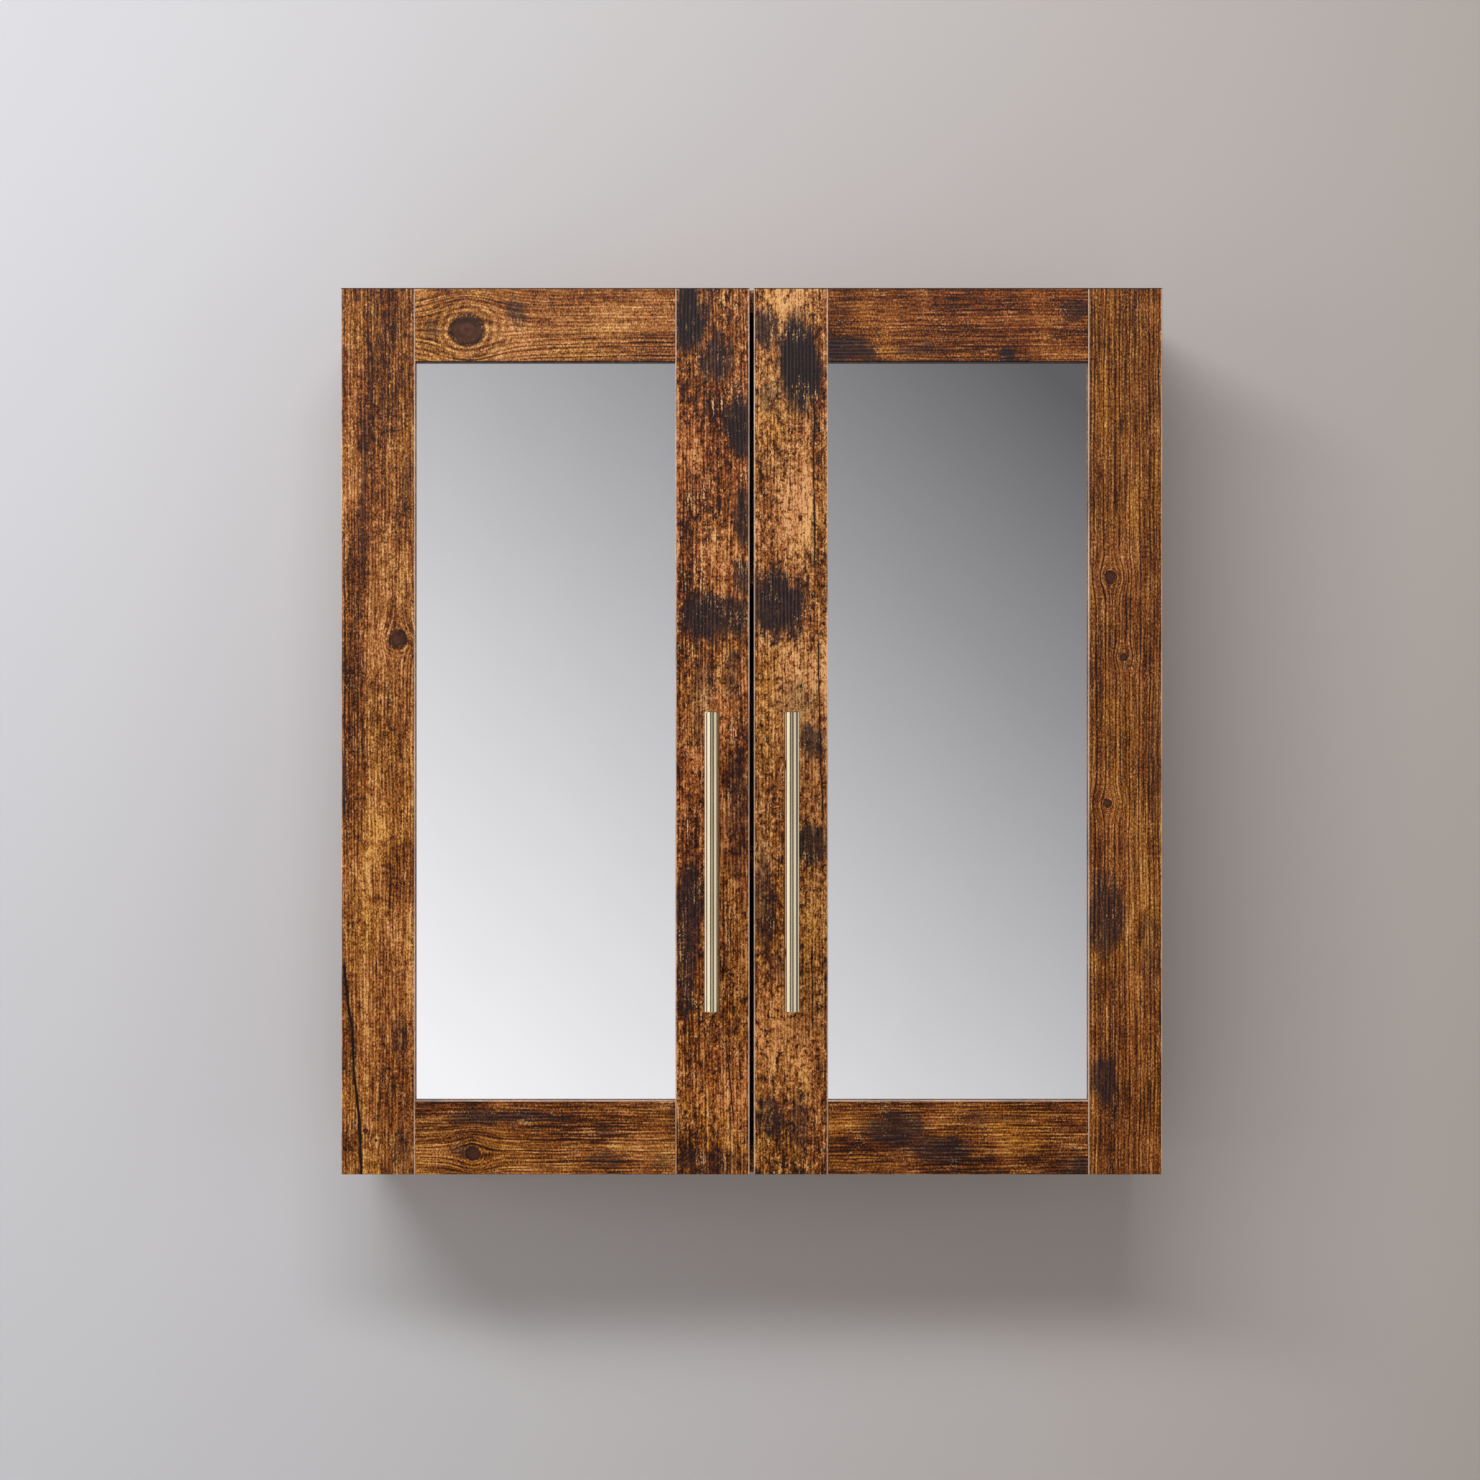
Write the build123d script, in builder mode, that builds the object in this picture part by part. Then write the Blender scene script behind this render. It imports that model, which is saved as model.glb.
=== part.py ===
from build123d import *
import os

# Mirror cabinet for a wall: a board carcass with two framed mirror doors on concealed hinges.
# Millimetres, +Z up, the wall is the plane Y = 0 and the doors face -Y.
# The origin is the centre of the four wall-screw holes.

# Overall sizes
cabinet_width = 555.0
cabinet_height = 600.0
carcass_depth = 132.0

# Boards and back
board = 15.0
back_thickness = 3.0
back_groove_depth = 6.0
back_groove_play = 0.1
back_edge_play = 0.5
wall_rail_thickness = 15.0
wall_rail_height = 80.0

# Wall fixing
wall_screw_spacing_x = 400.0
wall_screw_hole_radius = 2.75
back_screw_hole_radius = 4.5

# Shelves
shelf_depth = 93.0
shelf_side_play = 1.2
shelf_back_play = 1.0
shelf_hole_pitch = 32.0
shelf_holes_per_row = 5
shelf_hole_number = 3
shelf_row_setback = 30.0
shelf_row_spacing = 58.0
shelf_pin_radius = 2.5
shelf_pin_grip = 9.0
shelf_pin_reach = 8.0
shelf_pin_collar_radius = 3.75
shelf_pin_collar = 1.0

# Knock-down fittings and dowels of the carcass
cam_radius = 7.4
cam_bore_radius = 7.5
cam_bore_depth = 12.5
cam_cap = 1.0
cam_setback = 24.0
cam_row_setback = 32.0
cam_row_spacing = 68.0
cam_channel = 7.6
cam_bolt_thread_radius = 2.45
cam_bolt_thread = 11.0
cam_bolt_shank_radius = 3.4
cam_bolt_shank = 15.5
cam_bolt_neck_radius = 1.8
cam_bolt_neck = 5.5
cam_bolt_head_radius = 3.2
cam_bolt_head = 3.0
panel_dowel_radius = 4.0
panel_dowel = 30.0
panel_dowel_in_side = 10.0
panel_dowel_spacing = 32.0
rail_dowel_radius = 3.0
rail_dowel = 24.0
rail_dowel_in_side = 8.0
rail_dowel_spacing = 44.0
hole_play = 0.05
dowel_end_play = 0.5

# Doors
door_thickness = 16.0
door_member = 50.0
door_side_reveal = 0.5
door_end_reveal = 1.0
door_gap = 3.0
carcass_to_door = 2.0
frame_lip = 5.0
frame_groove_depth = 8.0
frame_tongue_play = 0.5
frame_tongue_side_play = 0.1
mirror_thickness = 3.0
mirror_backing_thickness = 3.0
mirror_pocket_play = 0.4
mirror_edge_play = 1.0
frame_edge_radius = 0.6
bumper_radius = 4.0
bumper_play = 0.3
bumper_from_middle = 20.0

# Bar handles
handle_length = 200.0
handle_radius = 5.0
handle_below_middle = 87.0
handle_stand_off = 27.0
handle_post_radius = 3.0
handle_post_spacing = 128.0
handle_socket_end = 0.2
handle_end_chamfer = 0.5
handle_screw_radius = 2.0
handle_screw_head_radius = 3.9
handle_screw_head = 2.2
handle_screw_in_post = 12.0
handle_screw_hole_radius = 2.3

# Concealed hinges, measured from the door's outer edge (across) and inner face (back)
hinge_from_middle = 210.0
cup_radius = 17.5
cup_wall = 0.5
cup_depth = 11.6
cup_floor = 0.6
cup_centre_across = 22.5
cup_mouth_half = 8.5
cup_ear = 1.2
cup_ear_half = 29.0
cup_ear_width = 13.0
cup_screw_across = 28.5
cup_screw_spacing = 48.0
cup_screw_radius = 1.7
cup_screw_length = 12.0
cup_screw_head_radius = 3.4
cup_screw_head = 1.6
arm_pivot = (31.4, -2.2)
cup_pivot = (12.4, -3.0)
hinge_pin_radius = 1.5
pin_running_play = 0.05
pin_press_play = 0.02
link_eye_radius = 2.4
link_half = 1.3
link_half_width = 5.9
link_bow_share = 0.6
link_bow = 4.0
arm_inner_half = 6.3
arm_sheet = 1.5
arm_nose_radius = 2.7
arm_web_height = 11.5
arm_foot = 4.0
arm_back = 64.0
arm_pin_half = 8.0
cup_pin_half = 12.5
plate_base = 2.5
plate_from_front = 37.0
plate_wing_half = 22.0
plate_wing_depth = 16.0
plate_block_half = 5.5
plate_block_depth = 46.0
plate_screw_spacing = 32.0
plate_screw_radius = 1.9
plate_screw_length = 11.0
plate_screw_head_radius = 3.6
plate_screw_head = 2.0
arm_screw_radius = 2.4
arm_screw_length = 7.0
arm_screw_head_radius = 4.2
arm_screw_head = 2.0

# Sizes that follow from the values above
half_width = cabinet_width / 2
half_height = cabinet_height / 2
inner_half_width = half_width - board
inner_half_height = half_height - board
carcass_front = -carcass_depth
back_panel_front = -(wall_rail_thickness + back_thickness)
door_back = carcass_front - carcass_to_door
door_front = door_back - door_thickness
door_inner_edge = door_gap / 2
door_outer_edge = half_width - door_side_reveal
door_half_height = half_height - door_end_reveal
opening_inner_edge = door_inner_edge + door_member
opening_outer_edge = door_outer_edge - door_member
opening_half_height = door_half_height - door_member
groove_front = door_front + frame_lip
groove_back = groove_front + mirror_thickness + mirror_backing_thickness + mirror_pocket_play
wall_screw_z = inner_half_height - wall_rail_height / 2
shelf_pin_z = shelf_hole_pitch * shelf_hole_number
shelf_rows = (carcass_front + shelf_row_setback, carcass_front + shelf_row_setback + shelf_row_spacing)
cam_rows = (carcass_front + cam_row_setback, carcass_front + cam_row_setback + cam_row_spacing)
dowel_middle = (cam_rows[0] + cam_rows[1]) / 2
dowel_rows = (dowel_middle - panel_dowel_spacing / 2, dowel_middle + panel_dowel_spacing / 2)
handle_x = door_inner_edge + door_member / 2
handle_z = -handle_below_middle
handle_axis_y = door_front - handle_stand_off
handle_post_z = (handle_z - handle_post_spacing / 2, handle_z + handle_post_spacing / 2)
hinge_z = (-hinge_from_middle, hinge_from_middle)

LEFT = -1
RIGHT = 1
SIDES = ((LEFT, "left"), (RIGHT, "right"))

os.makedirs("parts", exist_ok=True)


def block(x, y, z, mode=Mode.ADD):
    """A rectangular block between two limits on each axis."""
    with Locations(((x[0] + x[1]) / 2, (y[0] + y[1]) / 2, (z[0] + z[1]) / 2)):
        Box(abs(x[1] - x[0]), abs(y[1] - y[0]), abs(z[1] - z[0]), mode=mode)


def rod(start, direction, length, radius, mode=Mode.ADD):
    """A round rod that starts at a point and runs along a direction."""
    with Locations(Plane(origin=start, z_dir=direction)):
        Cylinder(radius, length, align=(Align.CENTER, Align.CENTER, Align.MIN), mode=mode)


def drill(start, direction, depth, radius):
    """A round hole that starts at a point and runs along a direction."""
    rod(start, direction, depth, radius, mode=Mode.SUBTRACT)


def save(piece, name):
    """Name a finished piece and write its file."""
    piece.part.label = name
    export_step(piece.part, f"parts/{name}.step")


def hinge_x(side, across):
    """X of a point of a hinge, given its distance from the door's outer edge."""
    return side * (door_outer_edge - across)


def hinge_y(back):
    """Y of a point of a hinge, given its distance behind the door's inner face."""
    return door_back + back


# Carcass boards
def side_panel(side):
    inner = side * inner_half_width
    outer = side * half_width
    with BuildPart() as panel:
        with BuildSketch(Plane.XY.offset(-half_height)):
            with Locations(((inner + outer) / 2, carcass_front / 2)):
                Rectangle(board, carcass_depth)
        extrude(amount=cabinet_height)
        groove_y = (back_panel_front - back_groove_play, -wall_rail_thickness + back_groove_play)
        groove_half = inner_half_height + back_groove_depth
        block((inner, inner + side * back_groove_depth), groove_y, (-groove_half, groove_half), Mode.SUBTRACT)
        for row in shelf_rows:
            for number in range(1, shelf_holes_per_row + 1):
                for end in (-1, 1):
                    at = (inner, row, end * number * shelf_hole_pitch)
                    drill(at, (side, 0, 0), shelf_pin_grip + dowel_end_play, shelf_pin_radius + hole_play)
        for end in (-1, 1):
            middle = end * (half_height - board / 2)
            for row in cam_rows:
                bolt_hole = cam_bolt_thread + dowel_end_play
                drill((inner, row, middle), (side, 0, 0), bolt_hole, cam_bolt_thread_radius + hole_play)
            for row in dowel_rows:
                dowel_hole = panel_dowel_in_side + dowel_end_play
                drill((inner, row, middle), (side, 0, 0), dowel_hole, panel_dowel_radius + hole_play)
            for step in (-1, 1):
                at = (inner, -wall_rail_thickness / 2, end * wall_screw_z + step * rail_dowel_spacing / 2)
                dowel_hole = rail_dowel_in_side + dowel_end_play
                drill(at, (side, 0, 0), dowel_hole, rail_dowel_radius + hole_play)
        for z in hinge_z:
            for step in (-1, 1):
                at = (inner, carcass_front + plate_from_front, z + step * plate_screw_spacing / 2)
                drill(at, (side, 0, 0), plate_screw_length + dowel_end_play, plate_screw_radius + hole_play)
    return panel


def end_panel(end):
    outer = end * half_height
    inner = end * inner_half_height
    middle = end * (half_height - board / 2)
    with BuildPart() as panel:
        with BuildSketch(Plane.XY.offset(min(inner, outer))):
            with Locations((0, carcass_front / 2)):
                Rectangle(2 * inner_half_width, carcass_depth)
        extrude(amount=board)
        groove_y = (back_panel_front - back_groove_play, -wall_rail_thickness + back_groove_play)
        groove_x = (-inner_half_width, inner_half_width)
        block(groove_x, groove_y, (inner, inner + end * back_groove_depth), Mode.SUBTRACT)
        for side in (LEFT, RIGHT):
            edge = side * inner_half_width
            for row in cam_rows:
                drill((side * (inner_half_width - cam_setback), row, outer), (0, 0, -end), cam_bore_depth,
                      cam_bore_radius)
                drill((edge, row, middle), (-side, 0, 0), cam_setback, cam_bolt_shank_radius + hole_play)
            for row in dowel_rows:
                dowel_hole = panel_dowel - panel_dowel_in_side + dowel_end_play
                drill((edge, row, middle), (-side, 0, 0), dowel_hole, panel_dowel_radius + hole_play)
    return panel


def wall_rail(end):
    middle = end * wall_screw_z
    with BuildPart() as rail:
        with BuildSketch(Plane.XY.offset(middle - wall_rail_height / 2)):
            with Locations((0, -wall_rail_thickness / 2)):
                Rectangle(2 * inner_half_width, wall_rail_thickness)
        extrude(amount=wall_rail_height)
        for side in (LEFT, RIGHT):
            screw = (side * wall_screw_spacing_x / 2, 0, middle)
            drill(screw, (0, -1, 0), wall_rail_thickness, wall_screw_hole_radius)
            for step in (-1, 1):
                at = (side * inner_half_width, -wall_rail_thickness / 2, middle + step * rail_dowel_spacing / 2)
                dowel_hole = rail_dowel - rail_dowel_in_side + dowel_end_play
                drill(at, (-side, 0, 0), dowel_hole, rail_dowel_radius + hole_play)
    return rail


def shelf(end):
    bottom = end * shelf_pin_z + shelf_pin_radius
    back = back_panel_front - shelf_back_play
    with BuildPart() as plank:
        with BuildSketch(Plane.XY.offset(bottom)):
            with Locations((0, back - shelf_depth / 2)):
                Rectangle(2 * (inner_half_width - shelf_side_play), shelf_depth)
        extrude(amount=board)
    return plank


for side, hand in SIDES:
    save(side_panel(side), f"{hand}_side_panel")

for end, place in ((1, "top"), (-1, "bottom")):
    save(end_panel(end), f"{place}_panel")

for end, place in ((1, "upper"), (-1, "lower")):
    save(wall_rail(end), f"{place}_wall_rail")
    save(shelf(end), f"{place}_shelf")

with BuildPart() as back_panel:
    reach = back_groove_depth - back_edge_play
    with BuildSketch(Plane.XZ.offset(-back_panel_front - back_thickness)):
        Rectangle(2 * (inner_half_width + reach), 2 * (inner_half_height + reach))
    extrude(amount=back_thickness)
    for side in (LEFT, RIGHT):
        for end in (-1, 1):
            screw = (side * wall_screw_spacing_x / 2, back_panel_front, end * wall_screw_z)
            drill(screw, (0, 1, 0), back_thickness, back_screw_hole_radius)
save(back_panel, "back_panel")


# Fittings inside the carcass
with BuildPart() as shelf_pins:
    for side in (LEFT, RIGHT):
        for end in (-1, 1):
            for row in shelf_rows:
                wall = (side * inner_half_width, row, end * shelf_pin_z)
                sunk = (side * (inner_half_width + shelf_pin_grip), row, end * shelf_pin_z)
                rod(sunk, (-side, 0, 0), shelf_pin_grip + shelf_pin_reach, shelf_pin_radius)
                rod(wall, (-side, 0, 0), shelf_pin_collar, shelf_pin_collar_radius)
save(shelf_pins, "shelf_pins")

cam_height = cam_bore_depth - cam_cap
with BuildPart() as cam_locks:
    for side in (LEFT, RIGHT):
        for end in (-1, 1):
            for row in cam_rows:
                x = side * (inner_half_width - cam_setback)
                middle = end * (half_height - board / 2)
                rod((x, row, end * (half_height - cam_cap)), (0, 0, -end), cam_height, cam_radius)
                across = (row - cam_channel / 2, row + cam_channel / 2)
                upright = (middle - cam_channel / 2, middle + cam_channel / 2)
                block((x - side * cam_bolt_head, x + side * cam_bore_radius), across, upright, Mode.SUBTRACT)
save(cam_locks, "cam_locks")

with BuildPart() as cam_caps:
    for side in (LEFT, RIGHT):
        for end in (-1, 1):
            for row in cam_rows:
                x = side * (inner_half_width - cam_setback)
                rod((x, row, end * half_height), (0, 0, -end), cam_cap, cam_radius)
save(cam_caps, "cam_caps")

with BuildPart() as cam_bolts:
    for side in (LEFT, RIGHT):
        for end in (-1, 1):
            for row in cam_rows:
                middle = end * (half_height - board / 2)
                edge = inner_half_width
                inward = (-side, 0, 0)
                rod((side * (edge + cam_bolt_thread), row, middle), inward, cam_bolt_thread, cam_bolt_thread_radius)
                rod((side * edge, row, middle), inward, cam_bolt_shank, cam_bolt_shank_radius)
                neck_start = edge - cam_bolt_shank
                rod((side * neck_start, row, middle), inward, cam_bolt_neck, cam_bolt_neck_radius)
                head_start = neck_start - cam_bolt_neck
                rod((side * head_start, row, middle), inward, cam_bolt_head, cam_bolt_head_radius)
save(cam_bolts, "cam_bolts")

with BuildPart() as panel_dowels:
    for side in (LEFT, RIGHT):
        for end in (-1, 1):
            for row in dowel_rows:
                start = (side * (inner_half_width + panel_dowel_in_side), row, end * (half_height - board / 2))
                rod(start, (-side, 0, 0), panel_dowel, panel_dowel_radius)
save(panel_dowels, "panel_dowels")

with BuildPart() as rail_dowels:
    for side in (LEFT, RIGHT):
        for end in (-1, 1):
            for step in (-1, 1):
                z = end * wall_screw_z + step * rail_dowel_spacing / 2
                start = (side * (inner_half_width + rail_dowel_in_side), -wall_rail_thickness / 2, z)
                rod(start, (-side, 0, 0), rail_dowel, rail_dowel_radius)
save(rail_dowels, "rail_dowels")

with BuildPart() as door_bumpers:
    for side in (LEFT, RIGHT):
        for end in (-1, 1):
            at = (side * bumper_from_middle, carcass_front, end * (half_height - board / 2))
            rod(at, (0, -1, 0), carcass_to_door - bumper_play, bumper_radius)
save(door_bumpers, "door_bumpers")


# Framed mirror doors
def soften_front(piece):
    """Round the edges of a door member's front face."""
    front = piece.faces().sort_by(Axis.Y)[0]
    fillet(front.edges(), frame_edge_radius)


def stile(side, inner, outer, groove_edge, groove_end, hinged):
    """An upright of a door frame, with the groove that holds the mirror."""
    with BuildPart() as member:
        with BuildSketch(Plane.XY.offset(-door_half_height)):
            with Locations((side * (inner + outer) / 2, (door_front + door_back) / 2)):
                Rectangle(outer - inner, door_thickness)
        extrude(amount=2 * door_half_height)
        soften_front(member)
        groove_z = (-door_half_height, door_half_height)
        block((side * groove_edge, side * groove_end), (groove_front, groove_back), groove_z, Mode.SUBTRACT)
        if hinged:
            for z in hinge_z:
                drill((hinge_x(side, cup_centre_across), door_back, z), (0, -1, 0), cup_depth, cup_radius + hole_play)
                for step in (-1, 1):
                    at = (hinge_x(side, cup_screw_across), door_back, z + step * cup_screw_spacing / 2)
                    drill(at, (0, -1, 0), cup_screw_length + dowel_end_play, cup_screw_radius + hole_play)
        else:
            for z in handle_post_z:
                drill((side * handle_x, door_back, z), (0, -1, 0), door_thickness, handle_screw_hole_radius)
    return member


def door_rail(side, end):
    """A cross member of a door frame, with a tongue at each end and the mirror's groove."""
    x_inner = opening_inner_edge
    x_outer = opening_outer_edge
    with BuildPart() as member:
        with BuildSketch(Plane.XY.offset(end * (door_half_height - door_member / 2) - door_member / 2)):
            with Locations((side * (x_inner + x_outer) / 2, (door_front + door_back) / 2)):
                Rectangle(x_outer - x_inner, door_thickness)
        extrude(amount=door_member)
        soften_front(member)
        tongue = frame_groove_depth - frame_tongue_play
        tongue_y = (groove_front + frame_tongue_side_play, groove_back - frame_tongue_side_play)
        tongue_x = (side * (x_inner - tongue), side * (x_outer + tongue))
        block(tongue_x, tongue_y, (end * opening_half_height, end * door_half_height))
        groove_x = (side * (x_inner - frame_groove_depth), side * (x_outer + frame_groove_depth))
        groove_z = (end * opening_half_height, end * (opening_half_height + frame_groove_depth))
        block(groove_x, (groove_front, groove_back), groove_z, Mode.SUBTRACT)
    return member


def door_sheet(side, front, thickness):
    """A sheet that stands in the frame's groove."""
    reach = frame_groove_depth - mirror_edge_play
    middle = side * (opening_inner_edge + opening_outer_edge) / 2
    with BuildPart() as sheet:
        with BuildSketch(Plane.XZ.offset(-front - thickness)):
            with Locations((middle, 0)):
                Rectangle(opening_outer_edge - opening_inner_edge + 2 * reach, 2 * (opening_half_height + reach))
        extrude(amount=thickness)
    return sheet


def handle_bar(side):
    with BuildPart() as bar:
        with BuildSketch(Plane.XY.offset(handle_z - handle_length / 2)):
            with Locations((side * handle_x, handle_axis_y)):
                Circle(handle_radius)
        extrude(amount=handle_length)
        ends = bar.faces().filter_by(Axis.Z)
        chamfer(ends.edges(), handle_end_chamfer)
        for z in handle_post_z:
            start = (side * handle_x, handle_axis_y + handle_radius, z)
            drill(start, (0, -1, 0), handle_radius, handle_post_radius + hole_play)
    return bar


def handle_posts(side):
    with BuildPart() as posts:
        for z in handle_post_z:
            length = handle_stand_off - handle_socket_end
            rod((side * handle_x, door_front, z), (0, -1, 0), length, handle_post_radius)
            drill((side * handle_x, door_front, z), (0, -1, 0), handle_screw_in_post + dowel_end_play,
                  handle_screw_radius + hole_play)
    return posts


def handle_screws(side):
    with BuildPart() as screws:
        for z in handle_post_z:
            rod((side * handle_x, door_back, z), (0, 1, 0), handle_screw_head, handle_screw_head_radius)
            rod((side * handle_x, door_back, z), (0, -1, 0), door_thickness + handle_screw_in_post,
                handle_screw_radius)
    return screws


for side, hand in SIDES:
    outer_stile = stile(side, opening_outer_edge, door_outer_edge, opening_outer_edge,
                        opening_outer_edge + frame_groove_depth, True)
    inner_stile = stile(side, door_inner_edge, opening_inner_edge, opening_inner_edge,
                        opening_inner_edge - frame_groove_depth, False)
    save(outer_stile, f"{hand}_outer_stile")
    save(inner_stile, f"{hand}_inner_stile")
    save(door_rail(side, 1), f"{hand}_top_rail")
    save(door_rail(side, -1), f"{hand}_bottom_rail")
    save(door_sheet(side, groove_front, mirror_thickness), f"{hand}_mirror")
    save(door_sheet(side, groove_front + mirror_thickness, mirror_backing_thickness), f"{hand}_mirror_backing")
    save(handle_bar(side), f"{hand}_handle_bar")
    save(handle_posts(side), f"{hand}_handle_posts")
    save(handle_screws(side), f"{hand}_handle_screws")


# Concealed hinges
wall_across = board - door_side_reveal
web_across = wall_across + arm_web_height
link_bend = (
    arm_pivot[0] + link_bow_share * (cup_pivot[0] - arm_pivot[0]),
    arm_pivot[1] + link_bow_share * (cup_pivot[1] - arm_pivot[1]) - link_bow,
)
plate_back = plate_from_front + carcass_to_door


def hinge_point(side, point):
    """X and Y of a hinge pivot or corner."""
    return (hinge_x(side, point[0]), hinge_y(point[1]))


def hinge_cups(side):
    x = hinge_x(side, cup_centre_across)
    with BuildPart() as cups:
        for z in hinge_z:
            rod((x, door_back, z), (0, -1, 0), cup_depth, cup_radius)
            ear_x = (hinge_x(side, cup_screw_across - cup_ear_width / 2),
                     hinge_x(side, cup_screw_across + cup_ear_width / 2))
            block(ear_x, (door_back, door_back + cup_ear), (z - cup_ear_half, z + cup_ear_half))
            corners = cups.edges().filter_by(Axis.Y)
            ends = corners.filter_by(lambda e: abs(abs(e.center().Z - z) - cup_ear_half) < hole_play)
            fillet(ends, cup_ear_width / 3)
            with BuildPart(mode=Mode.PRIVATE) as cavity:
                rod((x, door_back + cup_ear, z), (0, -1, 0), cup_depth - cup_floor + cup_ear, cup_radius - cup_wall)
                block((x - cup_radius, x + cup_radius), (door_back - cup_depth, door_back + cup_ear),
                      (z - cup_mouth_half, z + cup_mouth_half), Mode.INTERSECT)
            add(cavity.part, mode=Mode.SUBTRACT)
            pin_x, pin_y = hinge_point(side, cup_pivot)
            drill((pin_x, pin_y, z - cup_pin_half), (0, 0, 1), 2 * cup_pin_half, hinge_pin_radius + pin_press_play)
            for step in (-1, 1):
                at = (hinge_x(side, cup_screw_across), door_back + cup_ear, z + step * cup_screw_spacing / 2)
                drill(at, (0, -1, 0), cup_ear, cup_screw_radius + hole_play)
    return cups


def hinge_links(side):
    arm_end = hinge_point(side, arm_pivot)
    cup_end = hinge_point(side, cup_pivot)
    bend = hinge_point(side, link_bend)
    with BuildPart() as links:
        for z in hinge_z:
            with BuildSketch(Plane.XY.offset(z - link_half_width)):
                with BuildLine():
                    Polyline(arm_end, bend, cup_end)
                trace(line_width=2 * link_half)
                with Locations(arm_end, cup_end):
                    Circle(link_eye_radius)
                with Locations(bend):
                    Circle(link_half)
                with Locations(arm_end, cup_end):
                    Circle(hinge_pin_radius + pin_running_play, mode=Mode.SUBTRACT)
            extrude(amount=2 * link_half_width)
    return links


def hinge_arms(side):
    """Folded channel arms, clipped over the mounting plates."""
    outline = (
        (arm_pivot[0] - arm_nose_radius, arm_pivot[1]),
        (arm_pivot[0] - arm_nose_radius, carcass_to_door + arm_foot),
        (wall_across + plate_base + arm_foot, 3 * arm_foot),
        (wall_across + plate_base + arm_foot / 2, plate_back - plate_wing_depth),
        (wall_across + plate_base + arm_foot / 2, arm_back),
        (web_across + arm_sheet, arm_back),
        (web_across + arm_sheet, plate_back - plate_block_depth / 2),
        (arm_pivot[0] + arm_nose_radius, carcass_to_door + arm_foot),
        (arm_pivot[0] + arm_nose_radius, arm_pivot[1]),
    )
    pivot = hinge_point(side, arm_pivot)
    half = arm_inner_half + arm_sheet
    with BuildPart() as arms:
        for z in hinge_z:
            for level in (z - half, z + arm_inner_half):
                with BuildSketch(Plane.XY.offset(level)):
                    with BuildLine():
                        Polyline([hinge_point(side, point) for point in outline], close=True)
                    make_face()
                    with Locations(pivot):
                        Circle(arm_nose_radius)
                        Circle(hinge_pin_radius + pin_press_play, mode=Mode.SUBTRACT)
                extrude(amount=arm_sheet)
            web_x = (hinge_x(side, web_across), hinge_x(side, web_across + arm_sheet))
            web_y = (hinge_y(plate_back - plate_block_depth / 2), hinge_y(arm_back))
            block(web_x, web_y, (z - half, z + half))
            at = (hinge_x(side, web_across + arm_sheet), hinge_y(plate_back), z)
            drill(at, (side, 0, 0), arm_sheet, arm_screw_radius + hole_play)
    return arms


def hinge_plates(side):
    """Mounting plates on the side panel, with the block that the arm sits on."""
    base_x = (hinge_x(side, wall_across), hinge_x(side, wall_across + plate_base))
    block_x = (hinge_x(side, wall_across), hinge_x(side, web_across))
    with BuildPart() as plates:
        for z in hinge_z:
            wing_y = (hinge_y(plate_back - plate_wing_depth / 2), hinge_y(plate_back + plate_wing_depth / 2))
            block(base_x, wing_y, (z - plate_wing_half, z + plate_wing_half))
            corners = plates.edges().filter_by(Axis.X)
            tips = corners.filter_by(lambda e: abs(abs(e.center().Z - z) - plate_wing_half) < hole_play)
            fillet(tips, plate_wing_depth / 3)
            block_y = (hinge_y(plate_back - plate_block_depth / 2), hinge_y(plate_back + plate_block_depth / 2))
            block(block_x, block_y, (z - plate_block_half, z + plate_block_half))
            at = (hinge_x(side, web_across), hinge_y(plate_back), z)
            drill(at, (side, 0, 0), arm_screw_length, arm_screw_radius + hole_play)
            for step in (-1, 1):
                at = (hinge_x(side, wall_across + plate_base), hinge_y(plate_back), z + step * plate_screw_spacing / 2)
                drill(at, (side, 0, 0), plate_base, plate_screw_radius + hole_play)
    return plates


def hinge_plate_screws():
    with BuildPart() as screws:
        for side in (LEFT, RIGHT):
            for z in hinge_z:
                for step in (-1, 1):
                    seat = (hinge_x(side, wall_across + plate_base), hinge_y(plate_back),
                            z + step * plate_screw_spacing / 2)
                    rod(seat, (side, 0, 0), plate_base + plate_screw_length, plate_screw_radius)
                    rod(seat, (-side, 0, 0), plate_screw_head, plate_screw_head_radius)
    return screws


def hinge_arm_screws():
    with BuildPart() as screws:
        for side in (LEFT, RIGHT):
            for z in hinge_z:
                seat = (hinge_x(side, web_across + arm_sheet), hinge_y(plate_back), z)
                rod(seat, (side, 0, 0), arm_screw_length, arm_screw_radius)
                rod(seat, (-side, 0, 0), arm_screw_head, arm_screw_head_radius)
    return screws


def hinge_pins(sides, pivot, half):
    with BuildPart() as pins:
        for side in sides:
            for z in hinge_z:
                x, y = hinge_point(side, pivot)
                rod((x, y, z - half), (0, 0, 1), 2 * half, hinge_pin_radius)
    return pins


def cup_screws(side):
    with BuildPart() as screws:
        for z in hinge_z:
            for step in (-1, 1):
                seat = (hinge_x(side, cup_screw_across), door_back + cup_ear, z + step * cup_screw_spacing / 2)
                rod(seat, (0, -1, 0), cup_ear + cup_screw_length, cup_screw_radius)
                rod(seat, (0, 1, 0), cup_screw_head, cup_screw_head_radius)
    return screws


for side, hand in SIDES:
    save(hinge_cups(side), f"{hand}_hinge_cups")
    save(cup_screws(side), f"{hand}_cup_screws")
    save(hinge_pins((side,), cup_pivot, cup_pin_half), f"{hand}_cup_pins")
    save(hinge_links(side), f"{hand}_hinge_links")
    save(hinge_arms(side), f"{hand}_hinge_arms")
    save(hinge_plates(side), f"{hand}_hinge_plates")

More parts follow.
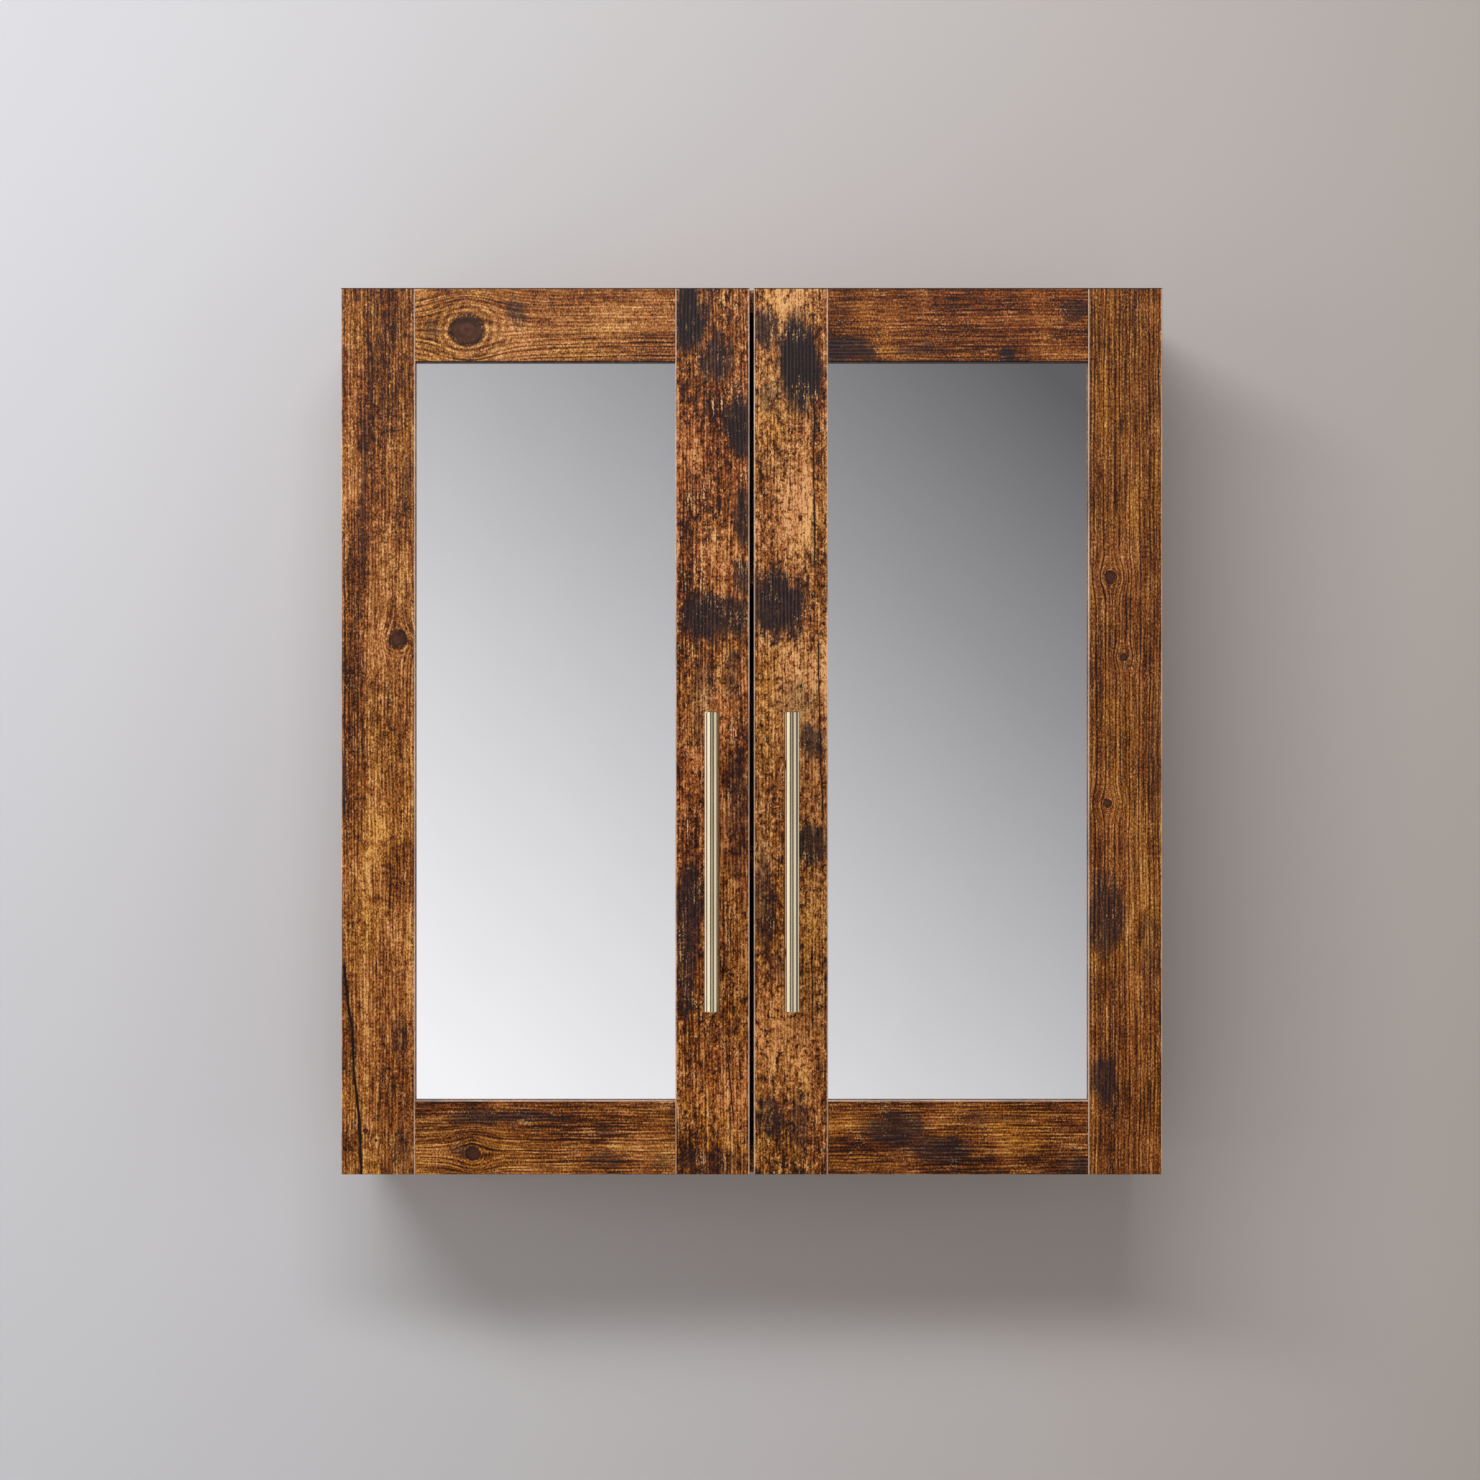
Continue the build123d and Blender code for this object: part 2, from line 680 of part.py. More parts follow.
save(hinge_plate_screws(), "hinge_plate_screws")
save(hinge_arm_screws(), "hinge_arm_screws")
save(hinge_pins((LEFT, RIGHT), arm_pivot, arm_pin_half), "hinge_arm_pins")
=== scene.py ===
import math

import bpy
from mathutils import Euler, Matrix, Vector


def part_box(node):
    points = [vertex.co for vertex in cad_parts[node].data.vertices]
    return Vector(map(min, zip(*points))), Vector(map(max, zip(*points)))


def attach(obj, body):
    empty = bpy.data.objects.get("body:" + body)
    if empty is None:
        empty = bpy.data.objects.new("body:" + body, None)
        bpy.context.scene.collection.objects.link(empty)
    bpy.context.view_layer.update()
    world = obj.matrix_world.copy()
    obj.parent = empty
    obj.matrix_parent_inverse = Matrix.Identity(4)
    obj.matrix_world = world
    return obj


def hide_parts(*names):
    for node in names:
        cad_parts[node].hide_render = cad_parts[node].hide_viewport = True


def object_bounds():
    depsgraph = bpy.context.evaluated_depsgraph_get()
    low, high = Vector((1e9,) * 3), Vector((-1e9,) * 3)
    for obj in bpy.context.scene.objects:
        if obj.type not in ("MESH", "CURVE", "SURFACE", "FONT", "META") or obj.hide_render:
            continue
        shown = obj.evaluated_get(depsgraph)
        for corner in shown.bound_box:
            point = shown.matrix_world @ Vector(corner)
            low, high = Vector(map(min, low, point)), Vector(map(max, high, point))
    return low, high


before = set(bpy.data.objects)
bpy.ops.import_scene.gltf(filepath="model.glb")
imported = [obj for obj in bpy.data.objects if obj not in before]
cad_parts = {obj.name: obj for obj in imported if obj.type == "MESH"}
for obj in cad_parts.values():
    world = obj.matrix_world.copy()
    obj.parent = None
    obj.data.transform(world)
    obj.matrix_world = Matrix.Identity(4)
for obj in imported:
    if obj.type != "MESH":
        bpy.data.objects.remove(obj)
cad_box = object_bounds()

MM = 0.001
TURN = 2 * math.pi
QUARTER = math.pi / 2
SIDES = ((-1, "left"), (1, "right"))

# Places taken from the frame
FRONT_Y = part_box("left_outer_stile")[0][1]
CAD_MIDDLE = [(low + high) / 2 for low, high in zip(*cad_box)]

# Camera: straight on, a little left of and below the cabinet's middle, as in the photograph.
# The height in pixels is what the cabinet's full height takes at the plane of the doors.
PHOTO_SIZE = 1480
CABINET_HEIGHT_PX = 889.6
CABINET_MIDDLE_PX = (751.7, 731.2)
CAMERA_DISTANCE = 2.0
METRES_PER_PX = (cad_box[1][2] - cad_box[0][2]) / CABINET_HEIGHT_PX
FRAME_WIDTH = PHOTO_SIZE * METRES_PER_PX
SENSOR = 36.0


class Value:
    """A shader value. Arithmetic on it adds Math nodes to its paint."""

    def __init__(self, paint, socket):
        self.paint = paint
        self.socket = socket

    def math(self, operation, *others):
        return self.paint.make("Math", {"operation": operation}, [self, *others])

    def __add__(self, other):
        return self.math("ADD", other)

    def __radd__(self, other):
        return self.math("ADD", other)

    def __sub__(self, other):
        return self.math("SUBTRACT", other)

    def __rsub__(self, other):
        return self.paint.make("Math", {"operation": "SUBTRACT"}, [other, self])

    def __mul__(self, other):
        return self.math("MULTIPLY", other)

    def __rmul__(self, other):
        return self.math("MULTIPLY", other)

    def __truediv__(self, other):
        return self.math("DIVIDE", other)

    def __abs__(self):
        return self.math("ABSOLUTE")


class Paint:
    """A material or world being put together from nodes."""

    def __init__(self, owner):
        owner.use_nodes = True
        self.owner = owner
        self.nodes = owner.node_tree.nodes
        self.links = owner.node_tree.links
        self.nodes.clear()

    def make(self, kind, settings=None, inputs=(), output=0):
        """Add a node with its settings first, then the values or links of its sockets."""
        node = self.nodes.new("ShaderNode" + kind)
        for name, value in (settings or {}).items():
            if name == "stops":
                fill_ramp(node.color_ramp, value)
            else:
                setattr(node, name, value)
        pairs = inputs.items() if isinstance(inputs, dict) else enumerate(inputs)
        for key, value in pairs:
            if isinstance(value, Value):
                self.links.new(value.socket, node.inputs[key])
            else:
                node.inputs[key].default_value = value
        return Value(self, node.outputs[output] if len(node.outputs) else None)


def fill_ramp(ramp, stops):
    """Set a colour ramp's stops, given as (position, colour)."""
    while len(ramp.elements) > 1:
        ramp.elements.remove(ramp.elements[-1])
    ramp.elements[0].position = stops[0][0]
    ramp.elements[0].color = (*stops[0][1], 1)
    for position, colour in stops[1:]:
        ramp.elements.new(position).color = (*colour, 1)


def srgb(red, green, blue):
    """A colour as seen on screen, 0 to 255, as linear light."""
    out = []
    for part in (red, green, blue):
        c = part / 255
        out.append(c / 12.92 if c <= 0.04045 else ((c + 0.055) / 1.055) ** 2.4)
    return tuple(out)


def new_paint(name):
    return Paint(bpy.data.materials.new(name))


def split(paint):
    """X, Y and Z of the piece's own coordinates, in metres."""
    place = paint.make("TexCoord", output="Object")
    return [paint.make("SeparateXYZ", {}, [place], output=axis) for axis in ("X", "Y", "Z")]


def noise(paint, place, detail=2.0, roughness=0.5, distortion=0.0):
    """Noise with a mean of about a half, at a scale already in the place's three values."""
    vector = paint.make("CombineXYZ", {}, place)
    return paint.make("TexNoise", {}, {"Vector": vector, "Scale": 1.0, "Detail": detail,
                                       "Roughness": roughness, "Distortion": distortion})


def rise(paint, value, low, high, smooth=True):
    """0 at low and 1 at high, and level beyond them. Low may be the larger of the two."""
    settings = {"interpolation_type": "SMOOTHSTEP" if smooth else "LINEAR"}
    return paint.make("MapRange", settings, {"Value": value, "From Min": low, "From Max": high})


def ramp(paint, value, stops):
    return paint.make("ValToRGB", {"stops": stops}, [value])


def mix(paint, share, first, second, blend="MIX"):
    """Blend two colours."""
    node = {"data_type": "RGBA", "blend_type": blend, "clamp_factor": True}
    first = first if isinstance(first, Value) else (*first, 1)
    second = second if isinstance(second, Value) else (*second, 1)
    return paint.make("Mix", node, {0: share, 6: first, 7: second}, output=2)


def either(operation, first, second):
    """MAXIMUM or MINIMUM of two values, where the first may not be there yet."""
    return second if first is None else first.math(operation, second)


def surface(paint, colour, roughness, height=None, depth=0.0002, strength=0.4, **fixed):
    """Finish a paint with a Principled shader, and a bump where a height is given."""
    base = colour if isinstance(colour, Value) else (*colour, 1)
    inputs = {"Base Color": base, "Roughness": roughness}
    for name, value in fixed.items():
        inputs[name.replace("_", " ")] = value
    if height is not None:
        bump = {"Strength": strength, "Distance": depth, "Height": height}
        inputs["Normal"] = paint.make("Bump", {}, bump)
    shader = paint.make("BsdfPrincipled", {}, inputs)
    paint.make("OutputMaterial", {}, {"Surface": shader})
    return paint.owner


def dress(node, material):
    """Give a CAD node a material."""
    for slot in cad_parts[node].material_slots:
        slot.material = material


# Printed rustic wood: colours as seen on screen
BURNT = srgb(34, 18, 12)
UMBER = srgb(72, 36, 12)
CHESTNUT = srgb(116, 66, 25)
AMBER = srgb(151, 98, 45)
OCHRE = srgb(184, 131, 74)
STRAW = srgb(224, 178, 124)
WOOD_STOPS = [(0.0, BURNT), (0.2, UMBER), (0.42, CHESTNUT), (0.6, AMBER), (0.8, OCHRE), (1.0, STRAW)]
KNOT_HEART = srgb(68, 38, 28)
PORE = srgb(42, 22, 12)
SOOT = srgb(27, 19, 21)
ASH = srgb(64, 47, 47)
# Near black, for the printed cracks and for the painted shade lines on the door tops and under the top
# rails' lips
CRACK_AND_SHADE = srgb(20, 14, 13)
# Pale, for the painted highlight on the front corners of the door members
CORNER_HIGHLIGHT = srgb(222, 196, 178)
RUDDY = srgb(236, 196, 182)
GOLDEN = srgb(255, 243, 170)

# What sets each board's noise apart from the others', and how far a length along the grain counts in a knot
SEED_STEP = 3.17
KNOT_STRETCH = 0.93

# Spacing of the printed growth lines and of the ribs in burnt places, and of a knot's rings in its radii
COMB_SPACING = 2.3 * MM
CHAR_SPACING = 2.5 * MM
RING_SPACING = 0.42


class Board:
    """A board's coordinates, and the noises that its printed wood is made from.

    Each noise has its fineness across and along the grain, in cycles a metre."""

    def __init__(self, paint, grain, seed, knots):
        self.paint = paint
        self.x, self.y, self.z = split(paint)
        self.across, self.along = (self.x, self.z) if grain == "z" else (self.z, self.x)
        self.shift = seed * SEED_STEP
        self.wobble = self.stretched((self.across, self.y, self.along), (22, 6), 2.0)
        self.sway = self.stretched((self.across, self.y, self.along), (70, 26), 2.0)
        self.bent = self.across + (self.wobble - 0.5) * 0.005 + (self.sway - 0.5) * 0.001
        self.rim = None
        self.pull = None
        for knot in knots:
            self.bend_round(knot)

        along_grain = (self.bent, self.y, self.along)
        self.bands = self.stretched(along_grain, (45, 2.4), 3.0, 0.55)
        self.streak = self.stretched(along_grain, (190, 9), 3.0, 0.6, inward=True)
        self.rib = self.stretched(along_grain, (430, 40), 2.0, 0.6, inward=True)
        self.fibre = self.stretched(along_grain, (900, 55), 2.0, 0.6, inward=True)
        self.ragged = self.stretched(along_grain, (150, 48), 4.0, 0.7)
        anywhere = (self.x, self.y, self.z)
        self.grit = self.stretched(anywhere, (900, 600), 2.0, 0.65)
        self.cloud = self.stretched(anywhere, (26, 15), 4.0, 0.6)
        self.flake = self.stretched(anywhere, (260, 190), 5.0, 0.8)
        self.hue = self.stretched(anywhere, (19, 12), 3.0, 0.6)
        self.scuffs = self.stretched(anywhere, (60, 42), 3.0, 0.7)

    def stretched(self, place, fineness, detail, roughness=0.5, inward=False):
        """Noise drawn out along the third axis. The seed shifts it on the first, or the second if inward."""
        fine, long = fineness
        first, second, third = place[0] * fine, place[1] * fine, place[2] * long
        if inward:
            second = second + self.shift
        else:
            first = first + self.shift
        return noise(self.paint, (first, second, third), detail, roughness)

    def bend_round(self, knot):
        """Bend the grain round a knot: its place across and along, its radius and its bend's reach in mm."""
        middle, level, radius, reach = (part * MM for part in knot)
        u = self.across - middle
        v = (self.along - level) * KNOT_STRETCH
        squared = u * u + v * v
        pull = (squared / reach ** 2 * -1.0).math("EXPONENT")
        rim = (squared.math("SQRT") + (self.wobble - 0.5) * 0.004) / radius
        self.bent = self.bent - u * pull * 0.85
        self.rim = either("MINIMUM", self.rim, rim)
        self.pull = either("MAXIMUM", self.pull, pull)

    def away(self, patch):
        """Squared distance from the middle of an oval patch in mm, 1 at its rim."""
        middle_across, middle_along, radius_across, radius_along = (part * MM for part in patch[:4])
        u = (self.across - middle_across) / radius_across
        v = (self.along - middle_along) / radius_along
        return u * u + v * v

    def lines(self, spacing, waver):
        """Growth lines along the grain, from -1 to 1, that waver with the streaks."""
        return (self.bent * (TURN / spacing) + (self.streak - 0.5) * waver).math("SINE")


def fine_grain(board, hatch):
    """The finest light and dark of the print, around 0."""
    comb = board.lines(COMB_SPACING, 9.0) * (board.fibre * 0.3)
    rib = (board.rib - 0.5) * (0.6 * hatch)
    fibre = (board.fibre - 0.5) * (1.4 * hatch)
    return comb * hatch + rib + fibre + (board.grit - 0.5) * 1.6


def tone_of(board, tone, blotch, glows):
    """Broad light and dark of the print. A glow is a patch in mm, and how much lighter it is."""
    level = 0.5 + tone + (board.bands - 0.5) * 0.75 + (board.cloud - 0.5) * (2.1 * blotch)
    level = level + (board.streak - 0.5) * 0.55
    for glow in glows:
        reach = board.away(glow) + (board.ragged - 0.5) * 1.2
        level = level + (reach.math("MAXIMUM", 0.0) * -1.0).math("EXPONENT") * glow[4]
    return level


def crackled(board, crackle):
    """Chips of light and dark, as in dry old paint."""
    light = rise(board.paint, board.flake, 0.53, 0.63) * (0.34 * crackle)
    dark = rise(board.paint, board.flake, 0.49, 0.4) * (0.4 * crackle)
    return light - dark


def with_waves(board, level, waves):
    """Darken lines along the grain inside patches. A patch ends with their spacing in mm and depth."""
    for patch in waves:
        spacing, depth = patch[4:6]
        turns = board.lines(spacing * MM, 7.0)
        area = rise(board.paint, board.away(patch) + (board.cloud - 0.5) * 1.5, 1.3, 0.5)
        level = level - rise(board.paint, turns, 0.2, 0.95) * area * depth
    return level


def tinted(board, colour, red):
    """Redder and more golden places, and a lower half painted more golden to stand in for the key lamp's
    sheen being weaker there.
    """
    paint = board.paint
    ruddy = rise(paint, board.hue + (board.streak - 0.5) * 0.5, 0.6, 0.42)
    colour = mix(paint, ruddy * 0.4 + red, colour, RUDDY, "MULTIPLY")
    # Painted sheen: the share that grows towards the bottom stands in for the key lamp's weaker sheen low
    # down; the share from the hue noise is the print's own tone
    golden = rise(paint, board.hue, 0.45, 0.65) * 0.6 + rise(paint, board.z, 0.15, -0.2) * 0.35
    return mix(paint, golden, colour, GOLDEN, "MULTIPLY")


def with_knot_hearts(board, colour):
    """Dark, fibrous middles on the knots."""
    paint = board.paint
    edge = board.rim + (board.grit - 0.5) * 0.7 + (board.ragged - 0.5) * 1.0
    core = mix(paint, rise(paint, board.rim + (board.fibre - 0.5) * 1.8, 0.9, 0.3), BURNT, KNOT_HEART)
    return mix(paint, rise(paint, edge, 1.2, 0.8) * 0.95, colour, core)


def with_burns(board, colour, burns, fleck, fine):
    """Burnt patches, frayed along the grain, ribbed, and never quite closed. Each ends with its strength."""
    paint = board.paint
    fray = (board.ragged - 0.5) * 3.0 + (board.cloud - 0.5) * 2.4 + (board.rib - 0.5) * 0.8
    scorch = None
    for patch in burns:
        scorch = either("MAXIMUM", scorch, rise(paint, board.away(patch) + fray, 1.5, 0.35) * patch[4])
    char = mix(paint, rise(paint, board.lines(CHAR_SPACING, 4.0) + fine * 1.4, -0.1, 1.5), SOOT, ASH)
    return mix(paint, scorch * (1.0 - fleck * 0.7), colour, char)


def crack_mask(board, cracks):
    """Long cracks: a start and an end, each across and along, and a width, in mm."""
    paint = board.paint
    wander = (board.ragged - 0.5) * 0.003 + (board.wobble - 0.5) * 0.006
    run_out, run_in = 8 * MM, 2 * MM
    gap = None
    for crack in cracks:
        start_across, start_along, end_across, end_along, width = (part * MM for part in crack)
        low, high = sorted((start_along, end_along))
        slope = (end_across - start_across) / (end_along - start_along)
        middle = (board.along - start_along) * slope + start_across
        mask = rise(paint, abs(board.across - middle + wander), width, width * 0.3)
        mask = mask * rise(paint, board.along, low - run_out, low + run_in)
        mask = mask * rise(paint, board.along, high + run_out, high - run_in)
        gap = either("MAXIMUM", gap, mask)
    return gap


def with_edges(board, colour, edges, dark_edges):
    """Pale front corners, a painted highlight where the rounded edges catch the light, given as axis, place
    in mm and strength, and painted shade lines along the door tops and under the top rails' lips, given as a
    level and how far back they reach, in mm."""
    paint = board.paint
    front = rise(paint, board.y, FRONT_Y + 1.6 * MM, FRONT_Y + 0.8 * MM)
    # Painted highlight: the front corners are painted pale where the rounded edges catch light, and the
    # bottom rails' top corners where the ledge is lit from above
    for axis, place, strength in edges:
        reading = board.x if axis == "x" else board.z
        near = rise(paint, abs(reading - place * MM), 1.0 * MM, 0.4 * MM) * front
        colour = mix(paint, near * ((board.cloud - 0.5) * 1.6 + strength), colour, CORNER_HIGHLIGHT)
    # Painted shade: dark lines along the door tops, where the carcass top shades them, and under the top
    # rails' lips, which the light from above misses
    for level, reach_back in dark_edges:
        near = rise(paint, abs(board.z - level * MM), 1.0 * MM, 0.5 * MM)
        near = near * rise(paint, board.y, FRONT_Y + (reach_back + 1) * MM, FRONT_Y + reach_back * MM)
        colour = mix(paint, near * 0.9, colour, CRACK_AND_SHADE)
    return colour


def wood(name, grain, seed, tone=0.0, hatch=1.0, blotch=0.5, red=0.0, knots=(), burns=(), glows=(),
         cracks=(), worn=0.4, crackle=0.3, waves=(), edges=(), dark_edges=()):
    """Printed rustic wood. Grain is the axis it runs along. Places are in mm across and along the grain."""
    paint = new_paint(name)
    board = Board(paint, grain, seed, knots)
    fine = fine_grain(board, hatch)
    level = tone_of(board, tone, blotch, glows) + fine + crackled(board, crackle)
    if knots:
        turns = (board.rim * (TURN / RING_SPACING) + (board.sway - 0.5) * 5.0).math("SINE")
        level = level + (turns * 0.5 + 0.15) * board.pull * -0.42
    level = with_waves(board, level, waves)
    colour = tinted(board, ramp(paint, level, WOOD_STOPS), red)

    # Worn places, where the pale ground shows through as flecks
    fleck = rise(paint, board.grit * 0.5 + board.fibre * 0.5, 0.53, 0.63)
    fleck = fleck * rise(paint, board.scuffs, 0.47, 0.62)
    colour = mix(paint, fleck * worn, colour, STRAW)
    if knots:
        colour = with_knot_hearts(board, colour)
    if burns:
        colour = with_burns(board, colour, burns, fleck, fine)

    # Pores, fine dark dashes along the grain
    pore = rise(paint, board.fibre * 0.6 + board.rib * 0.4, 0.42, 0.34)
    colour = mix(paint, pore * (0.2 + 0.3 * hatch), colour, PORE)

    height = fine
    if cracks:
        gap = crack_mask(board, cracks)
        colour = mix(paint, gap, colour, CRACK_AND_SHADE)
        height = height - gap * 1.2
    colour = with_edges(board, colour, edges, dark_edges)
    rough = 0.48 + (board.grit - 0.5) * 0.25 + (board.cloud - 0.5) * 0.12
    return surface(paint, colour, rough, height, depth=0.00025, strength=0.45, Specular_IOR_Level=0.13)


def brushed(name, colour, dark, rough, seed, axis="z", streak=0.12, scratch=0.25):
    """Brushed metal with fine scratches along one axis."""
    paint = new_paint(name)
    x, y, z = split(paint)
    long, fine = 60, 5200
    scale = {letter: long if letter == axis else fine for letter in "xyz"}
    hair = noise(paint, (x * scale["x"] + seed, y * scale["y"], z * scale["z"]), 3.0, 0.6)
    tint = noise(paint, (x * 90 + seed, y * 90, z * 16), 3.0, 0.55)
    shade = mix(paint, rise(paint, tint, 0.35, 0.7) * 0.5, colour, dark)
    roughness = rough + (hair - 0.5) * streak + (tint - 0.5) * 0.06
    return surface(paint, shade, roughness, hair, depth=0.00003, strength=scratch, Metallic=1.0)


def moulded(name, colour, rough, seed, speck=0.04, **fixed):
    """Moulded plastic or rubber with a fine skin."""
    paint = new_paint(name)
    x, y, z = split(paint)
    skin = noise(paint, (x * 2600 + seed, y * 2600, z * 2600), 2.0, 0.6)
    tint = noise(paint, (x * 180 + seed, y * 180, z * 180))
    deeper = tuple(part * (1 - 4 * speck) for part in colour)
    shade = mix(paint, tint, deeper, colour)
    return surface(paint, shade, rough + (skin - 0.5) * 0.15, skin, depth=0.00005, strength=0.3, **fixed)


def hardboard(name, colour, dark, seed):
    """Pressed fibre board with short pale and dark hairs."""
    paint = new_paint(name)
    x, y, z = split(paint)
    hairs = noise(paint, (x * 900 + seed, y * 900, z * 380), 4.0, 0.7, 0.6)
    cloud = noise(paint, (x * 30 + seed, y * 30, z * 30), 3.0)
    shade = mix(paint, rise(paint, hairs + (cloud - 0.5) * 0.3, 0.35, 0.68), dark, colour)
    return surface(paint, shade, 0.62 + (hairs - 0.5) * 0.2, hairs, depth=0.0001, strength=0.4)


def mirror_glass(name):
    """Silvered glass with a faint uneven film."""
    paint = new_paint(name)
    x, y, z = split(paint)
    film = noise(paint, (x * 14, y * 14, z * 9), 3.0, 0.6)
    rough = 0.012 + rise(paint, film, 0.5, 0.8) * 0.012
    tint = mix(paint, rise(paint, film, 0.3, 0.7) * 0.3, srgb(243, 244, 245), srgb(238, 241, 241))
    return surface(paint, tint, rough, Metallic=1.0)


# Doors: places in mm, across and along each member's grain
DOOR_WOOD = {
    "left_outer_stile": dict(
        grain="z", seed=1.0, tone=-0.02, hatch=0.75, blotch=0.55, red=0.08, worn=0.45, crackle=0.8,
        knots=[(-239, 62, 6.5, 10), (-260.3, -269.5, 1.7, 3), (-253.4, -276, 1.6, 3)],
        burns=[(-262, 160, 2.4, 50, 0.55), (-275, -38, 3, 26, 0.75), (-233, 170, 4, 24, 0.4),
               (-238, -206, 6, 16, 0.4), (-236, -286, 7, 18, 0.35)],
        glows=[(-272, 190, 8, 110, 0.2), (-244, 250, 15, 60, -0.12), (-254, 165, 8, 60, -0.16),
               (-250, 100, 14, 40, 0.06), (-256, -100, 16, 60, 0.08), (-242, -136, 12, 22, 0.18),
               (-258, -262, 7, 50, 0.16), (-274, -246, 5, 30, 0.12), (-240, -240, 10, 60, -0.08)],
        cracks=[(-275, -158, -270, -201, 1.4), (-270, -201, -268.5, -233, 1.7),
                (-268.5, -233, -264.5, -262, 1.7), (-264.5, -262, -264.3, -300, 1.6)],
        waves=[(-268, 40, 9, 120, 3.2, 0.22)],
    ),
    "left_inner_stile": dict(
        grain="z", seed=2.0, tone=-0.04, hatch=0.85, blotch=0.75, red=0.42, worn=0.95, crackle=1.4,
        burns=[(-43, 279, 15, 26, 1.0), (-25, 252, 13, 16, 0.9), (-8, 206, 9, 26, 0.95),
               (-6, 143, 5, 26, 0.8), (-24, 76, 24, 18, 0.9), (-7, 104, 6, 14, 0.8),
               (-43, -135, 9, 50, 0.8), (-10, -60, 8, 40, 0.5), (-34, 20, 9, 40, 0.45),
               (-14, 38, 7, 18, 0.5), (-24, -290, 22, 8, 0.4)],
        glows=[(-42, 195, 12, 30, 0.16), (-26, 130, 18, 26, 0.2), (-10, 255, 8, 60, -0.16),
               (-25, -230, 22, 36, 0.1), (-20, 5, 16, 36, 0.1), (-38, 160, 10, 24, 0.1)],
        cracks=[(-15, -222, -13, -262, 0.8)],
    ),
    "left_top_rail": dict(
        grain="x", seed=3.0, tone=0.03, hatch=0.6, blotch=0.35, worn=0.3, crackle=0.5,
        knots=[(271, -192, 11.5, 24)],
        burns=[(284, -160, 10, 6, 0.7), (270, -216, 7, 5, 0.35), (278, -157, 7, 5, 0.5)],
        glows=[(278, -100, 12, 50, 0.1), (256, -60, 7, 40, -0.1), (292, -120, 5, 60, -0.1),
               (262, -160, 10, 20, 0.06)],
        waves=[(259, -90, 10, 90, 3.0, 0.3), (258, -200, 12, 40, 3.4, 0.22),
               (272, -222, 24, 14, 3.6, 0.3)],
    ),
    "left_bottom_rail": dict(
        grain="x", seed=4.0, tone=-0.09, hatch=0.9, blotch=0.5, red=0.1, worn=0.5,
        knots=[(-285, -188, 4.6, 12)],
        burns=[(-260, -168, 5, 38, 0.75), (-283, -197, 5, 7, 0.5), (-288, -100, 6, 12, 0.55),
               (-270, -98, 5, 8, 0.4), (-290, -60, 6, 10, 0.5)],
        glows=[(-275, -80, 12, 50, 0.12), (-270, -215, 16, 12, 0.12)],
        waves=[(-280, -120, 14, 80, 3.6, 0.2)],
    ),
    "right_inner_stile": dict(
        grain="z", seed=5.0, tone=0.07, hatch=0.65, blotch=0.7, red=0.15, worn=1.0, crackle=1.6,
        burns=[(10, 273, 8, 15, 0.9), (32, 247, 15, 34, 1.0), (12, 225, 8, 14, 0.6), (17, 85, 17, 25, 0.95),
               (41, -6, 9, 14, 0.85), (42, -76, 9, 14, 0.85), (8, -110, 7, 40, 0.6), (30, 20, 16, 14, 0.4),
               (12, -260, 9, 14, 0.65), (33, -262, 7, 20, 0.5), (22, -160, 12, 12, 0.4)],
        glows=[(36, 165, 8, 50, 0.22), (15, -205, 12, 40, 0.18), (26, 290, 18, 10, 0.14),
               (20, 150, 18, 26, 0.1), (24, 30, 20, 40, 0.08)],
        cracks=[(42.5, 222, 43, 116, 0.9), (46, 60, 48, -60, 0.8), (40, -150, 41, -200, 0.7)],
    ),
    "right_outer_stile": dict(
        grain="z", seed=6.0, tone=0.0, hatch=0.7, blotch=0.4, worn=0.3,
        knots=[(242, 104, 4, 9), (251, 50, 2.4, 6), (240, -48.6, 3, 8)],
        burns=[(239, -125, 12, 28, 0.75), (236, -237, 9, 18, 0.75), (273, 230, 4, 20, 0.3),
               (268, -150, 6, 30, 0.35), (272, -20, 4, 60, 0.35)],
        glows=[(250, 230, 22, 60, 0.06), (262, -230, 12, 40, 0.08), (268, 60, 8, 80, -0.1)],
        waves=[(252, 0, 40, 420, 3.3, 0.24)],
    ),
    "right_top_rail": dict(
        grain="x", seed=7.0, tone=-0.2, hatch=0.6, blotch=0.45, red=0.3, worn=0.4,
        burns=[(257, 68, 8, 18, 0.9), (254, 172, 5, 5, 0.9), (284, 218, 7, 9, 0.7), (257, 110, 5, 18, 0.45)],
        glows=[(280, 90, 12, 30, 0.12), (270, 150, 12, 40, 0.06)],
        waves=[(270, 150, 24, 60, 3.4, 0.14)],
    ),
    "right_bottom_rail": dict(
        grain="x", seed=8.0, tone=-0.12, hatch=0.9, blotch=0.5, red=0.2, worn=0.5,
        burns=[(-268, 96, 10, 22, 0.8), (-282, 120, 9, 28, 0.75), (-292, 218, 8, 11, 0.75),
               (-262, 160, 4, 20, 0.4)],
        glows=[(-275, 190, 12, 26, 0.14), (-290, 70, 8, 14, 0.12)],
    ),
}

# Strength of the painted highlight on the pale front corners, and how far back the painted shade lines
# reach, in mm
STILE_CORNER_HIGHLIGHT = 0.65
RAIL_CORNER_HIGHLIGHT = 0.6
TOP_SHADE_REACH = 0.6
LIP_SHADE_REACH = 5.0

